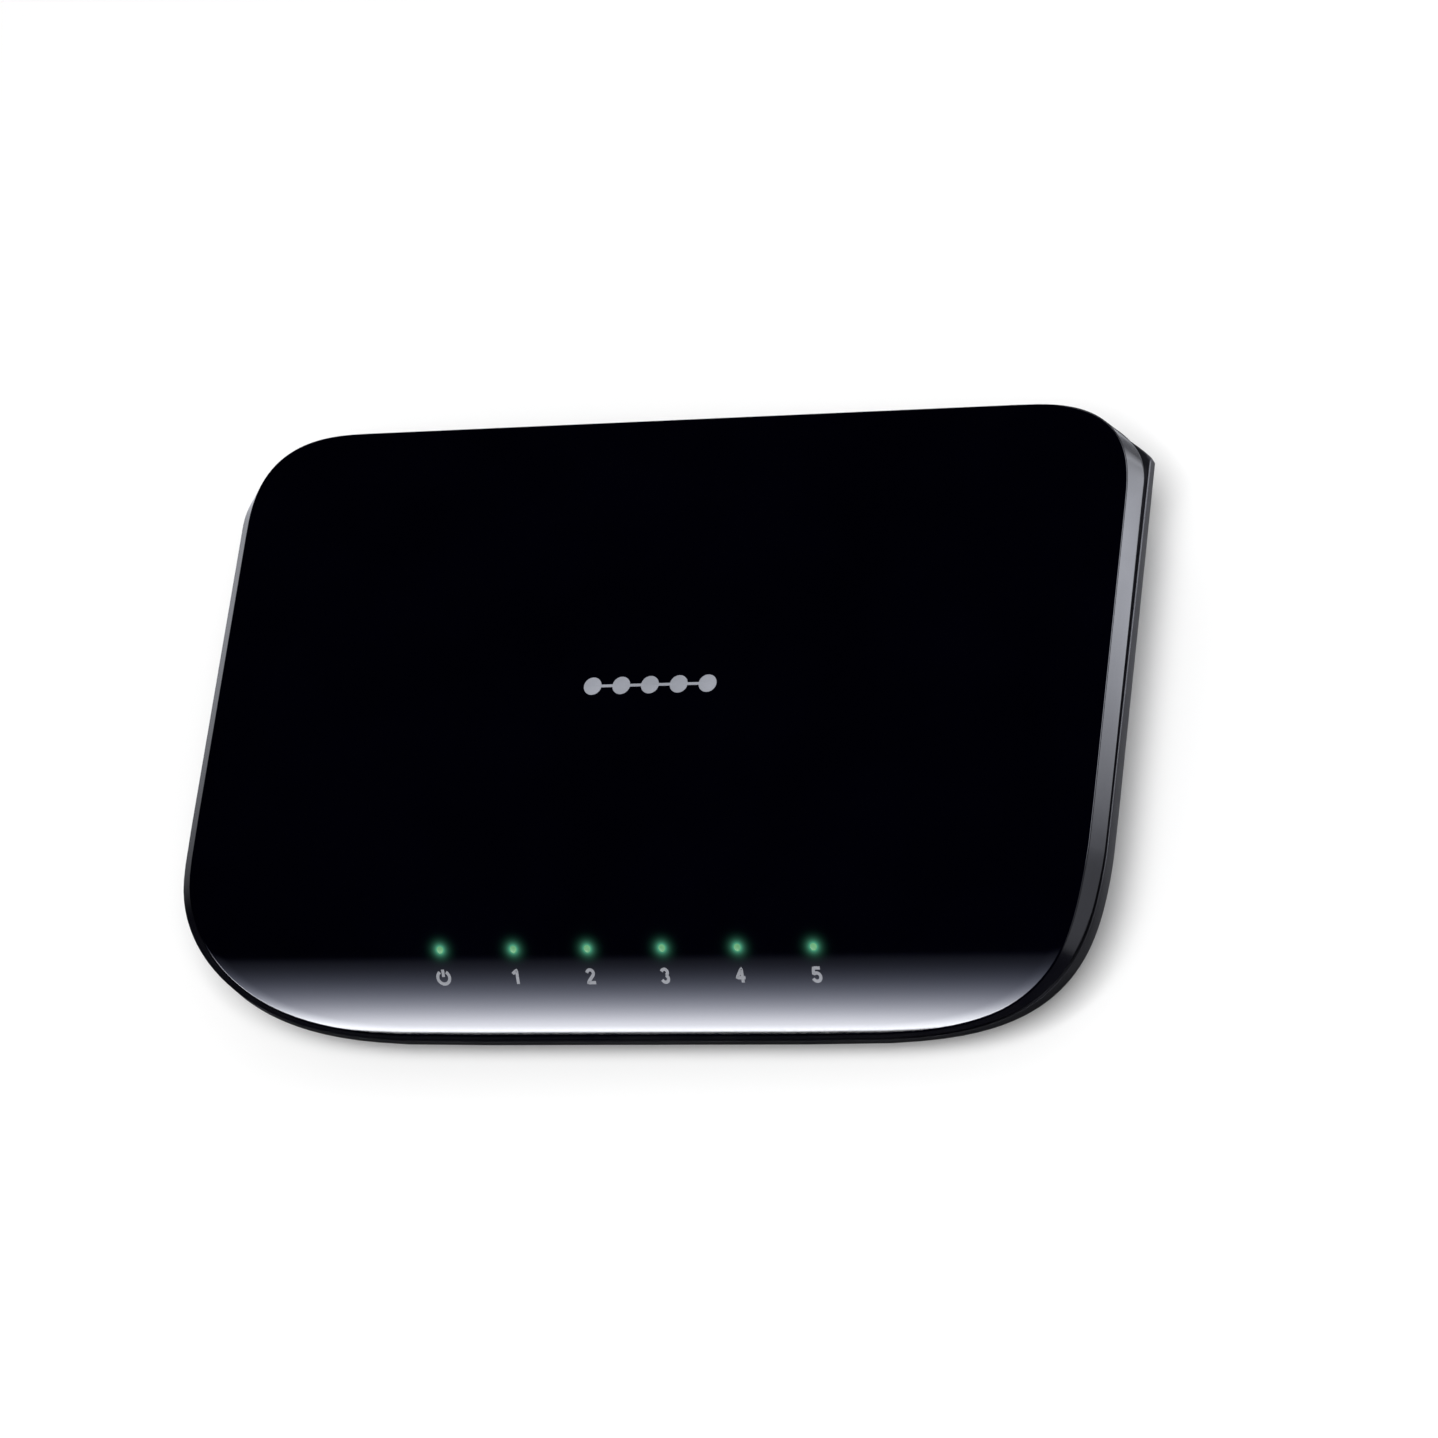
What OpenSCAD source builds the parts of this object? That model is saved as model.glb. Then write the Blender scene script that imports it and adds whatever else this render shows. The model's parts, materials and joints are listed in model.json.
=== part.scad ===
// Desktop network switch with five sockets, a power inlet and six status lights.
// X runs along the width, -Y is the front with the lights, +Y the back with the sockets, +Z is up.
// The origin is on the surface that the feet stand on, under the middle of the case.

/* [Case] */
// Overall width of the case
case_w = 165; // [160:1:170]
// Overall depth of the case
case_d = 108; // [106:1:110]
// Height of the flat top above the table
case_h = 28; // [27:0.5:30]
// Thickness of the moulded walls
wall = 2; // [1.8:0.1:2.2]
// How far the top falls from the flat to the front edge
front_drop = 16; // [13:0.5:16.5]
// Distance in front of the centre at which the top starts to fall
bend_start = 30; // [28:0.5:32]
// How far the lower case draws in under the rim at each side
side_taper = 9; // [7:0.5:10]

/* [Sockets] */
// Number of network sockets
ports = 5; // [3:1:5]
// Distance from one socket to the next
port_pitch = 13.97; // [13.97:0.01:14.5]
// Position of the middle of the row of sockets
ports_x = 14; // [12:1:16]
// Clear width of a socket
port_w = 11.9; // [11.7:0.1:12]
// Clear height of a socket
port_h = 8.4; // [8.2:0.1:8.6]
// Depth of a socket
port_depth = 15; // [14:0.5:15.5]

/* [Power inlet] */
// Position of the power inlet
inlet_x = -50; // [-54:1:-46]
// Radius of the hole that takes the plug
inlet_r = 3; // [2.8:0.1:3.1]
// Radius of the centre pin
inlet_pin_r = 1.05; // [0.8:0.05:1.25]

/* [Lights] */
// Distance from one light to the next
light_pitch = 13.36; // [12.5:0.01:14]
// Distance of the row of lights in front of the centre
lights_y = 42.4; // [41:0.1:43]
// Radius of a light's tip
light_r = 0.55; // [0.4:0.05:0.8]

/* [Feet and screws] */
// Radius of a rubber foot
foot_r = 5; // [4:0.5:6]
// Radius of a screw's thread
screw_r = 1.35; // [1.2:0.05:1.4]
// Distance between the two wall keyholes
keyhole_span = 100; // [90:1:104]

/* [Hidden] */
$fn = 48;
corner_steps = 14;
fall_steps = 14;
gap = 0.1;                                // clearance between parts that are fitted together
slip = 0.02;                              // clearance of a screw or a pin in its hole
far = 200;                                // longer than the case in every direction

// Levels
bottom_z = 1;                             // underside of the lower case
plate_top = bottom_z + 0.2 + wall;        // inside of the floor
board_z = 7;                              // underside of the circuit board
board_t = 1.6;
board_top = board_z + board_t;

// Edge of the top cover, inside the sloping trim
trim_out = 2.05;                          // width of the trim's slope at the sides
trim_out_front = 0.4;
trim_out_back = 0.9;
top_hw = case_w / 2 - trim_out;
top_front = case_d / 2 - trim_out_front;
top_back = case_d / 2 - trim_out_back;
top_front_corner = [52, 35, 3.6];         // half axes and power of a corner's superellipse
top_rear_corner = [20.9, 19.2, 2.8];
skirt_rear_corner = [21.4, 20.9, 2.5];    // rounder, so that the rim has a wall outside it
trim_rear_corner = [26, 16.7, 2.35];
rim_front_corner = [53.6, 34, 3.4];
rim_rear_corner = [14.2, 9.4, 1.13];      // nearly a chamfer
floor_front_corner = [42, 27, 3];
floor_front = 48;                         // front edge of the floor, in front of the centre
rear_dip = 1.5;                           // how much deeper the trim hangs at the back
rear_dip_y = [34, 45];                    // where it starts to dip, and where it is full
rim_wall = 2.2;
skirt_wall = 1.8;

// Sockets and inlet
port_floor = board_top + 2.8;             // bottom of a socket's opening
block_w = ports * port_pitch + 1.6;
block_h = 13.4;
block_y = 36.5;                           // inner end of the ganged moulding
mouth_y = case_d / 2 - 0.4;               // where the mouths of the sockets and inlet lie
wires = 8;
wire_pitch = 1.016;
wire_w = 0.45;
wire_t = 0.3;
wire_len = 9.2;
wire_slope = 25;
wire_root = [mouth_y - 3.1, port_floor + port_h + 0.4];   // the bend at the socket's mouth: y, z
inlet_z = board_top + 5.5;
inlet_depth = 10;
inlet_box = [9, 12.1, 11];
inlet_nose_r = 4.1;
leaf_root = [mouth_y - 9.4, inlet_z + 4.1];
leaf_len = 6.7;
leaf_slope = 12;

// Lights, screws, feet and openings in the floor
lights = 6;
boss_at = [[-68, -26], [68, -26], [-68, 38], [68, 38]];
board_screw_at = [[-52, -14], [52, 24]];
foot_at = [[-58, -35], [58, -35], [-60, 44], [60, 44]];
case_boss_r = 3.3;
boss_split = 12;                          // where the lower and upper screw bosses meet
screw_head_r = 2.6;
screw_head_h = 1.6;
keyhole_r = 3.5;
keyhole_slot_r = 1.75;
keyhole_slot = 6;
keyhole_y = 8;
vent = [2, 20];
side_vent = [1.8, 8];
label_size = [56, 30, 0.1];

// Board and its parts
board_half_w = 62;
board_y = [-46, 50];                      // front and back edges
chip_at = [10, 0];
chip_size = 14;
chip_h = 1.2;
lead_h = 0.25;
pad_h = 0.5;
sink_h = 6;
transformer = [12.7, 9.4, 5.6];
transformer_y = 28;
can_at = [[-44, 16], [-44, 27]];
can_r = 4;
can_h = 11.5;
inductor_at = [-30, 22];
regulator_at = [-32, 8];
memory_at = [-6, -14];
crystal_at = [26, -16];

// ---- Outlines and the falling top ----

// A quarter of a superellipse c = [half axis, half axis, power], from the side towards the end, in
// steps that turn it evenly
function corner(c) = [for (i = [0:corner_steps]) let (facing = 90 * i / corner_steps,
    t = i == corner_steps ? 90
        : (facing + atan(pow(tan(facing) * c[1] / c[0], c[2] / (2 * c[2] - 2)))) / 2)
    [c[0] * pow(cos(t), 2 / c[2]), c[1] * pow(sin(t), 2 / c[2])]];

// An outline seen from above: half width, front and back edges, front and rear corners
function outline(hw, front, back, fc, rc) = let (f = corner(fc), r = corner(rc), n = corner_steps)
    concat([for (i = [0:n]) [hw - rc[0] + r[i][0], back - rc[1] + r[i][1]]],
        [for (i = [n:-1:0]) [rc[0] - hw - r[i][0], back - rc[1] + r[i][1]]],
        [for (i = [0:n]) [fc[0] - hw - f[i][0], fc[1] - front - f[i][1]]],
        [for (i = [n:-1:0]) [hw - fc[0] + f[i][0], fc[1] - front - f[i][1]]]);
function grown(c, by) = [c[0] + by, c[1] + by, c[2]];
function top_outline(by = 0) = outline(top_hw + by, top_front + by, top_back + by,
    grown(top_front_corner, by), grown(top_rear_corner, by));
function skirt_outline(by = 0) = outline(top_hw + by, top_front + by, top_back + by,
    grown(top_front_corner, by), grown(skirt_rear_corner, by));
function rim_outline(by = 0) = outline(case_w / 2 + by, case_d / 2 + by, case_d / 2 + by,
    grown(rim_front_corner, by), grown(rim_rear_corner, by));
function trim_outline() = outline(case_w / 2, case_d / 2, case_d / 2, rim_front_corner,
    trim_rear_corner);
function floor_outline(by = 0) = outline(case_w / 2 - side_taper + by, floor_front + by,
    case_d / 2 + by, grown(floor_front_corner, by), grown(rim_rear_corner, by));

// Height of the top surface, and how far forward a point is: 0 on the flat and 1 at the front edge
function forward(y) = max(0, (-y - bend_start) / (top_front - bend_start));
function top_z(y) = case_h - front_drop * pow(forward(y), 2);
function blend(y, flat_value, front_value) =
    flat_value + (front_value - flat_value) * pow(min(1, forward(y)), 2);
function dip(y) = rear_dip
    * pow(min(1, max(0, y - rear_dip_y[0]) / (rear_dip_y[1] - rear_dip_y[0])), 2);

// Depths below the top surface, from the flat part to the front edge
trim_low = function (y) blend(y, 1.95, 0.4) + dip(y);
trim_under = function (y) trim_low(y) + 0.6;
rim_high = function (y) trim_under(y) + blend(y, 1, 0.3);
rim_low = function (y) blend(y, 7, 2.7);
skirt_low = function (y) blend(y, 4.6, 2.2) + dip(y) / 2;
skirt_clear = function (y) skirt_low(y) + 0.2;
shoulder = function (y) skirt_low(y) + 0.5;
flush = function (y) 0.03;
function even(depth) = function (y) depth;

// A closed ring swept round the case through loops of equal length, in order round its section
module ring(loops) {
    n = len(loops[0]);
    k = len(loops);
    polyhedron(points = [for (l = loops) each l],
        faces = [for (j = [0:k - 1]) for (i = [0:n - 1])
            let (a = j * n + i, b = j * n + (i + 1) % n,
                c = ((j + 1) % k) * n + (i + 1) % n, d = ((j + 1) % k) * n + i)
            each [[a, b, c], [a, c, d]]]);
}

// A layer under (or over) the top surface, between two depths, as long as the case is wide
fall_y = concat([far],
    [for (i = [0:fall_steps]) -bend_start - i * (top_front + 2 - bend_start) / fall_steps]);
module layer(from, to) {
    rotate([90, 0, 90])
        linear_extrude(far, center = true)
            polygon(concat([for (y = fall_y) [y, top_z(y) - from(y)]],
                [for (i = [len(fall_y) - 1:-1:0]) [fall_y[i], top_z(fall_y[i]) - to(fall_y[i])]]));
}

module column(at, r, z0, z1) {
    translate([at[0], at[1], z0]) cylinder(r = r, h = z1 - z0);
}

// A box centred in x and y on a point of the board
module on_board(at, size, z = board_top) {
    translate([at[0] - size[0] / 2, at[1] - size[1] / 2, z]) cube(size);
}

function light_x(i) = (i - (lights - 1) / 2) * light_pitch;
function port_x(p) = ports_x + (p - (ports + 1) / 2) * port_pitch;

// ---- Case ----

module top_cover() {
    color([0.01, 0.01, 0.015]) difference() {
        union() {
            intersection() {
                linear_extrude(far) polygon(top_outline());
                layer(even(0), even(wall));
            }
            intersection() {
                linear_extrude(far) difference() {
                    polygon(skirt_outline());
                    polygon(skirt_outline(-skirt_wall));
                }
                layer(even(wall / 2), skirt_low);
            }
            for (b = boss_at) column(b, case_boss_r, boss_split + gap, case_h - wall / 2);
        }
        for (b = boss_at) column(b, screw_r + slip, boss_split - 1, boss_split + 9);
        for (i = [0:lights - 1]) column([light_x(i), -lights_y], light_r + gap, 15, case_h + 1);
    }
}

function follow(points, depth) = [for (p = points) [p[0], p[1], top_z(p[1]) - depth(p[1])]];
function at_level(points, z) = [for (p = points) [p[0], p[1], z]];

module side_trim() {
    inner = top_outline(gap / 2);
    outer = trim_outline();
    color([0.55, 0.56, 0.6])
        ring([follow(inner, flush), follow(outer, trim_low),
            follow(outer, trim_under), follow(inner, trim_under)]);
}

module lower_case() {
    rim = rim_outline();
    seat = skirt_outline(gap);
    color([0.16, 0.16, 0.18]) difference() {
        union() {
            ring([follow(rim, rim_high), follow(rim, rim_low), at_level(floor_outline(), bottom_z),
                at_level(floor_outline(-wall), bottom_z), follow(rim_outline(-rim_wall), shoulder),
                follow(seat, skirt_clear), follow(seat, rim_high)]);
            translate([0, 0, bottom_z + 0.2]) linear_extrude(wall) polygon(floor_outline(-0.3));
            for (b = boss_at) column(b, case_boss_r, bottom_z + 0.4, boss_split);
            for (s = board_screw_at) column(s, 3, bottom_z + 0.4, board_z);
        }
        for (b = boss_at) {
            column(b, screw_r + 0.2, 0, boss_split + 1);
            column(b, screw_head_r + 0.2, 0, bottom_z + screw_head_h + 0.8);
        }
        for (s = board_screw_at) column(s, screw_r + slip, plate_top, board_z + 1);
        for (f = foot_at) column(f, foot_r + gap, 0, bottom_z + 0.8);
        for (side = [-1, 1]) keyhole(side * keyhole_span / 2);
        floor_vents();
        side_vents();
        translate([ports_x - block_w / 2 - 0.25, block_y, board_top - 0.25])
            cube([block_w + 0.5, case_d, block_h + 0.5]);
        translate([inlet_x, block_y, inlet_z]) rotate([-90, 0, 0])
            cylinder(r = inlet_nose_r + 0.3, h = case_d);
    }
}

// A round entry with a narrow slot running up from it, through the floor
module keyhole(x) {
    column([x, keyhole_y], keyhole_r, 0, plate_top + 1);
    translate([x - keyhole_slot_r, keyhole_y, 0]) cube([2 * keyhole_slot_r, keyhole_slot, plate_top + 1]);
    column([x, keyhole_y + keyhole_slot], keyhole_slot_r, 0, plate_top + 1);
}

module floor_vents() {
    for (side = [-1, 1], i = [0:6])
        translate([side * (8 + 4 * i) - vent[0] / 2, 16, 0]) cube([vent[0], vent[1], plate_top + 1]);
}

// Upright slots through the sloping side walls
module side_vents() {
    for (i = [0:9])
        translate([-case_w, -16 + 5 * i, 9]) cube([2 * case_w, side_vent[0], side_vent[1]]);
}

module rubber_foot(i) {
    color([0.07, 0.07, 0.07]) column(foot_at[i - 1], foot_r, 0, bottom_z + 0.8);
}

module screw(at, z, length) {
    column(at, screw_head_r, z, z + screw_head_h);
    column(at, screw_r, z + screw_head_h / 2, z + screw_head_h + length);
}

module case_screws() {
    color([0.5, 0.5, 0.52]) for (b = boss_at) difference() {
        screw(b, bottom_z + 0.7, 16);
        cross_recess(b, bottom_z + 0.7);
    }
}

module cross_recess(at, z) {
    for (turn = [0, 90])
        translate([at[0], at[1], z]) rotate([0, 0, turn]) cube([2.6, 0.5, 1.4], center = true);
}

module board_screws() {
    color([0.75, 0.75, 0.77]) for (s = board_screw_at) difference() {
        translate([s[0], s[1], board_top + screw_head_h]) rotate([180, 0, 0])
            screw([0, 0], 0, board_t + 2.2);
        cross_recess(s, board_top + screw_head_h);
    }
}

module rating_label() {
    color([0.85, 0.85, 0.85]) on_board([0, -18], label_size, bottom_z + 0.2 - label_size[2]);
}

// ---- Circuit board and its parts ----

module circuit_board() {
    color([0.02, 0.25, 0.12]) difference() {
        translate([-board_half_w, board_y[0], board_z])
            cube([2 * board_half_w, board_y[1] - board_y[0], board_t]);
        for (s = board_screw_at) column(s, screw_r + 0.2, 0, board_top + 1);
        for (side = [-1, 1])
            on_board([side * board_half_w, board_y[0] + 3], [16, 22, 3 * board_t], board_z - board_t);
    }
}

module jack_block() {
    color([0.05, 0.05, 0.05]) difference() {
        translate([ports_x - block_w / 2, block_y, board_top]) cube([block_w, mouth_y - block_y, block_h]);
        for (p = [1:ports]) translate([port_x(p), mouth_y, 0]) socket();
    }
}

// One socket: the opening, the latch's notch under it and the pocket for the roots of the wires
module socket() {
    latch = [6.2, 1.6];
    pocket = [9.2, 4.7, 0.85];
    translate([-port_w / 2, -port_depth, port_floor]) cube([port_w, 2 * port_depth, port_h]);
    translate([-latch[0] / 2, -port_depth, port_floor - latch[1]])
        cube([latch[0], 2 * port_depth, latch[1] + 1]);
    translate([-pocket[0] / 2, wire_root[0] - mouth_y - pocket[1] + 0.9, port_floor + port_h - 1])
        cube([pocket[0], pocket[1], pocket[2] + 1]);
}

// Eight wires that slope down from a bend at the mouth towards the back of the socket
module port_contacts(p) {
    color([0.85, 0.65, 0.2])
        for (i = [0:wires - 1])
            translate([port_x(p) + (i - (wires - 1) / 2) * wire_pitch, wire_root[0], wire_root[1]]) {
                rotate([wire_slope, 0, 0])
                    translate([-wire_w / 2, -wire_len, -wire_t / 2]) cube([wire_w, wire_len, wire_t]);
                rotate([0, 90, 0]) cylinder(r = 0.4, h = wire_w, center = true);
            }
}

module line_transformer(p) {
    color([0.06, 0.06, 0.07]) on_board([port_x(p), transformer_y], transformer);
}

module power_inlet_body() {
    color([0.05, 0.05, 0.05]) difference() {
        union() {
            translate([inlet_x - inlet_box[0] / 2, mouth_y - 2 - inlet_box[1], board_top])
                cube(inlet_box);
            translate([inlet_x, mouth_y - 3, inlet_z]) rotate([-90, 0, 0])
                cylinder(r = inlet_nose_r, h = 3);
        }
        translate([inlet_x, mouth_y - inlet_depth, inlet_z]) rotate([-90, 0, 0])
            cylinder(r = inlet_r, h = inlet_depth + 1);
        translate([inlet_x - 1.6, mouth_y - inlet_depth, inlet_z + 2])
            cube([3.2, inlet_depth - 2.4, 2.5]);
    }
}

module power_inlet_pin() {
    color([0.8, 0.8, 0.82]) translate([inlet_x, mouth_y - inlet_depth, inlet_z]) rotate([-90, 0, 0])
        cylinder(r = inlet_pin_r, h = inlet_depth - 1);
}

module power_inlet_leaf() {
    color([0.8, 0.8, 0.82]) translate([inlet_x, leaf_root[0], leaf_root[1]]) {
        rotate([-leaf_slope, 0, 0]) translate([-1.3, 0, -0.15]) cube([2.6, leaf_len, 0.3]);
        rotate([0, 90, 0]) cylinder(r = 0.35, h = 2.6, center = true);
    }
}

module switch_chip() {
    color([0.05, 0.05, 0.05]) on_board(chip_at, [chip_size, chip_size, chip_h], board_top + lead_h);
}

// A row of flat leads along each of the chip's four sides
module chip_leads() {
    pitch = 0.8;
    count = 15;
    reach = 1.2;
    color([0.75, 0.75, 0.77])
        for (turn = [0:90:270], i = [0:count - 1])
            translate([chip_at[0], chip_at[1], board_top]) rotate([0, 0, turn])
                translate([chip_size / 2 - 0.8, (i - (count - 1) / 2) * pitch - 0.15, 0])
                    cube([reach + 0.8, 0.3, lead_h]);
}

module thermal_pad() {
    color([0.6, 0.65, 0.75])
        on_board(chip_at, [chip_size - 1, chip_size - 1, pad_h], board_top + lead_h + chip_h);
}

module heat_sink() {
    base = board_top + lead_h + chip_h + pad_h;
    fins = 6;
    color([0.2, 0.2, 0.22]) difference() {
        on_board(chip_at, [chip_size, chip_size, sink_h], base);
        for (i = [1:fins - 1])
            on_board([chip_at[0] - chip_size / 2 + (i - 0.02) * chip_size / (fins - 0.04), chip_at[1]],
                [1.3, chip_size + 2, sink_h], base + 1.2);
    }
}

module memory_chip() {
    color([0.05, 0.05, 0.05]) on_board(memory_at, [4.9, 3.9, 1.5]);
}

module crystal() {
    color([0.78, 0.78, 0.8]) translate([crystal_at[0], crystal_at[1], board_top]) {
        for (side = [-1, 1]) translate([side * 3.2, 0, 0]) cylinder(r = 2.2, h = 3.4);
        translate([-3.2, -2.2, 0]) cube([6.4, 4.4, 3.4]);
    }
}

module filter_capacitor(i) {
    color([0.1, 0.12, 0.3]) difference() {
        column(can_at[i - 1], can_r, board_top, board_top + can_h);
        translate([can_at[i - 1][0], can_at[i - 1][1], board_top + 1.6])
            rotate_extrude() translate([can_r + 0.2, 0]) circle(r = 0.5, $fn = 24);
        translate([can_at[i - 1][0], can_at[i - 1][1], board_top + can_h]) for (turn = [0, 90])
            rotate([0, 0, turn]) cube([2 * can_r - 2, 0.3, 0.4], center = true);
    }
}

module power_inductor() {
    color([0.25, 0.25, 0.27]) union() {
        on_board(inductor_at, [7.3, 7.3, 1.2]);
        column(inductor_at, 3, board_top + 1, board_top + 3.4);
        on_board(inductor_at, [7.3, 7.3, 1], board_top + 3.2);
    }
}

module regulator_chip() {
    color([0.05, 0.05, 0.05]) on_board(regulator_at, [6.5, 3.6, 1.6]);
}

module chip_capacitors() {
    color([0.6, 0.5, 0.38]) {
        for (p = [1:ports], side = [-1, 1]) on_board([port_x(p) + side * 3.4, 19.5], [1.6, 0.8, 0.8]);
        for (side = [-1, 1], i = [0:3])
            on_board([chip_at[0] + side * 11, chip_at[1] - 6 + 4 * i], [0.8, 1.6, 0.8]);
    }
}

module chip_resistors() {
    color([0.08, 0.08, 0.09]) {
        for (i = [0:lights - 1]) on_board([light_x(i) + 2.6, -38.5], [1.6, 0.8, 0.5]);
        for (p = [1:ports], side = [-1, 1]) on_board([port_x(p) + side * 1.2, 16.4], [0.8, 1.6, 0.5]);
    }
}

// ---- Lights and marks ----

module status_leds() {
    color([0.5, 0.95, 0.5]) for (i = [0:lights - 1]) on_board([light_x(i), -lights_y], [1.6, 0.8, 0.6]);
}

// Six rods joined by a bar, each with a thin tip that ends flush with the falling top
module light_guide() {
    bar_z = 14;
    tip_z = 17.6;
    color([0.75, 0.95, 0.75]) union() {
        intersection() {
            for (i = [0:lights - 1]) column([light_x(i), -lights_y], light_r, bar_z, case_h + 1);
            layer(even(0), even(far));
        }
        for (i = [0:lights - 1]) column([light_x(i), -lights_y], 1.3, board_top + 0.8, tip_z);
        on_board([0, -lights_y], [(lights - 1) * light_pitch, 1.6, 1.6], bar_z);
    }
}

// Strokes on a grid one unit wide and two high, as [x0, y0, x1, y1] along the stroke's middle
DIGITS = [[[0.5, 0, 0.5, 2], [0.2, 1.7, 0.5, 2]],
    [[0, 2, 1, 2], [1, 1, 1, 2], [0, 1, 1, 1], [0, 0, 0, 1], [0, 0, 1, 0]],
    [[0, 2, 1, 2], [1, 0, 1, 2], [0.2, 1, 1, 1], [0, 0, 1, 0]],
    [[0, 1, 0, 2], [0, 1, 1, 1], [1, 0, 1, 2]],
    [[0, 2, 1, 2], [0, 1, 0, 2], [0, 1, 1, 1], [1, 0, 1, 1], [0, 0, 1, 0]]];
module digit(k) {
    size = 1.1;
    stroke = 0.4;
    for (s = DIGITS[k - 1]) {
        length = norm([s[2] - s[0], s[3] - s[1]]) * size;
        translate([(s[0] - 0.5) * size, (s[1] - 1) * size]) rotate(atan2(s[3] - s[1], s[2] - s[0]))
            translate([-stroke / 2, -stroke / 2]) square([length + stroke, stroke]);
    }
}

module power_symbol() {
    difference() {
        circle(r = 1.3);
        circle(r = 0.9);
        translate([-0.45, 0]) square([0.9, 2]);
    }
    translate([-0.2, 0]) square([0.4, 1.4]);
}

// Thin print lying on the falling top, a little in front of each light
module front_marks() {
    color([0.75, 0.77, 0.8]) intersection() {
        translate([0, -lights_y - 3.8, 0]) linear_extrude(case_h + 1) {
            translate([light_x(0), 0]) power_symbol();
            for (k = [1:lights - 1]) translate([light_x(k), 0]) digit(k);
        }
        layer(even(-0.05), even(0));
    }
}

// Five raised dots on a line, in the middle of the top
module top_badge() {
    pitch = 5.2;
    color([0.7, 0.71, 0.74]) translate([0, 3.4, case_h]) linear_extrude(0.1) {
        for (i = [-2:2]) translate([i * pitch, 0]) circle(r = 1.6);
        square([4 * pitch, 0.5], center = true);
    }
}

// ---- Drawing ----

top_cover();
side_trim();
lower_case();
for (i = [1:4]) rubber_foot(i);
case_screws();
rating_label();
circuit_board();
board_screws();
jack_block();
for (p = [1:ports]) port_contacts(p);
for (p = [1:ports]) line_transformer(p);
power_inlet_body();
power_inlet_pin();
power_inlet_leaf();
switch_chip();
chip_leads();
thermal_pad();
heat_sink();
memory_chip();
crystal();
for (i = [1:2]) filter_capacitor(i);
power_inductor();
regulator_chip();
chip_capacitors();
chip_resistors();
status_leds();
light_guide();
front_marks();
top_badge();
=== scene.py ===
import json
import math

import bmesh
import bpy
from mathutils import Matrix, Vector

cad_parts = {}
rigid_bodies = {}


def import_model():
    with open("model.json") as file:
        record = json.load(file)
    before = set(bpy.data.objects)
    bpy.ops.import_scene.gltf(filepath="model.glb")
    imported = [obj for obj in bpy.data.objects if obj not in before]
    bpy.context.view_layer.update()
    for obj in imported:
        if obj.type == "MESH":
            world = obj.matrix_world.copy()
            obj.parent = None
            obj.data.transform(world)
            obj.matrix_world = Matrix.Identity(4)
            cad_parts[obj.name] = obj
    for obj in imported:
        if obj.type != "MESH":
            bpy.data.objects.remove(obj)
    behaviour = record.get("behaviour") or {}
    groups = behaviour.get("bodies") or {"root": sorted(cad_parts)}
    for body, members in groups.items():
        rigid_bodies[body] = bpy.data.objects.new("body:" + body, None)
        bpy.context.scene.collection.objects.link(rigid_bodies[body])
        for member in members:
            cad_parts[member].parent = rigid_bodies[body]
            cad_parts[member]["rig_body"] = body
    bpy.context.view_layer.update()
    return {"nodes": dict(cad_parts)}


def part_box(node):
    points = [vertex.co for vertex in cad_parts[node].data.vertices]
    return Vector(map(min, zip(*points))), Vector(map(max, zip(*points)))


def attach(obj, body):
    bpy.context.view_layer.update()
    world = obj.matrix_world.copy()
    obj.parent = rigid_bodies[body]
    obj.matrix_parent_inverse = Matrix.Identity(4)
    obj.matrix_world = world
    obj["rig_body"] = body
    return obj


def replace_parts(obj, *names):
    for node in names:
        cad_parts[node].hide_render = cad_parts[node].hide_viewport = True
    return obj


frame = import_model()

MM = 0.001

CAMERA_AZIMUTH = 43.456
CAMERA_ELEVATION = 58.686
CAMERA_ROLL = -40.383
CAMERA_DISTANCE = 948.9 * MM
CAMERA_LENS = 142.19
CAMERA_AIM = (13.3 * MM, -3.2 * MM)

# ---- Form of the case: boxes from the CAD, and the driving values of its outlines and its falling top ----
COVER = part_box("top_cover")
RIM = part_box("side_trim")
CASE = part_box("lower_case")
TOP_Z = COVER[1].z
TOP_HALF = (COVER[1].x, -COVER[0].y, COVER[1].y)
RIM_HALF = (RIM[1].x, RIM[1].y)
FLOOR_Z = CASE[0].z
FRONT_DROP = 16 * MM
BEND_START = 30 * MM
SIDE_TAPER = 9 * MM
FLOOR_FRONT = 48 * MM
WALL = 2 * MM
RIM_WALL = 2.2 * MM
SKIRT_WALL = 1.8 * MM
PLATE = (0.2 * MM, 2.2 * MM)

# Front and rear corners of each outline: reach along x and along y in mm, and the superellipse's power
TOP_CORNERS = ((52.0, 35.0, 3.6), (20.9, 19.2, 2.8))
SKIRT_CORNERS = (TOP_CORNERS[0], (21.4, 20.9, 2.5))
RIM_CORNERS = ((53.6, 34.0, 3.4), (14.2, 9.4, 1.13))
TRIM_CORNERS = (RIM_CORNERS[0], (26.0, 16.7, 2.35))
FLOOR_CORNERS = ((42.0, 27.0, 3.0), RIM_CORNERS[1])
CORNER_STEPS = 30

# How much deeper the trim hangs at the back corners, and where that starts and ends along y
REAR_DIP = 1.5 * MM
REAR_DIP_Y = (34 * MM, 45 * MM)

# ---- Details ----
EDGE = 0.2 * MM
SCREW_PLACES = [(x, y) for x in (-68 * MM, 68 * MM) for y in (-26 * MM, 38 * MM)]
SCREW_POST = 3.3 * MM
BOARD_SCREWS = ((-52 * MM, -14 * MM), (52 * MM, 24 * MM))
SIDE_VENTS = 10
FLOOR_VENTS = 7
KEYHOLE = (50 * MM, 8 * MM)
INLET_BORE = 4.4 * MM
PORTS = 5
LIGHTS = 6
LIGHT_SIZE = 1.6 * MM
BOARD_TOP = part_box("circuit_board")[1].z

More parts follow.
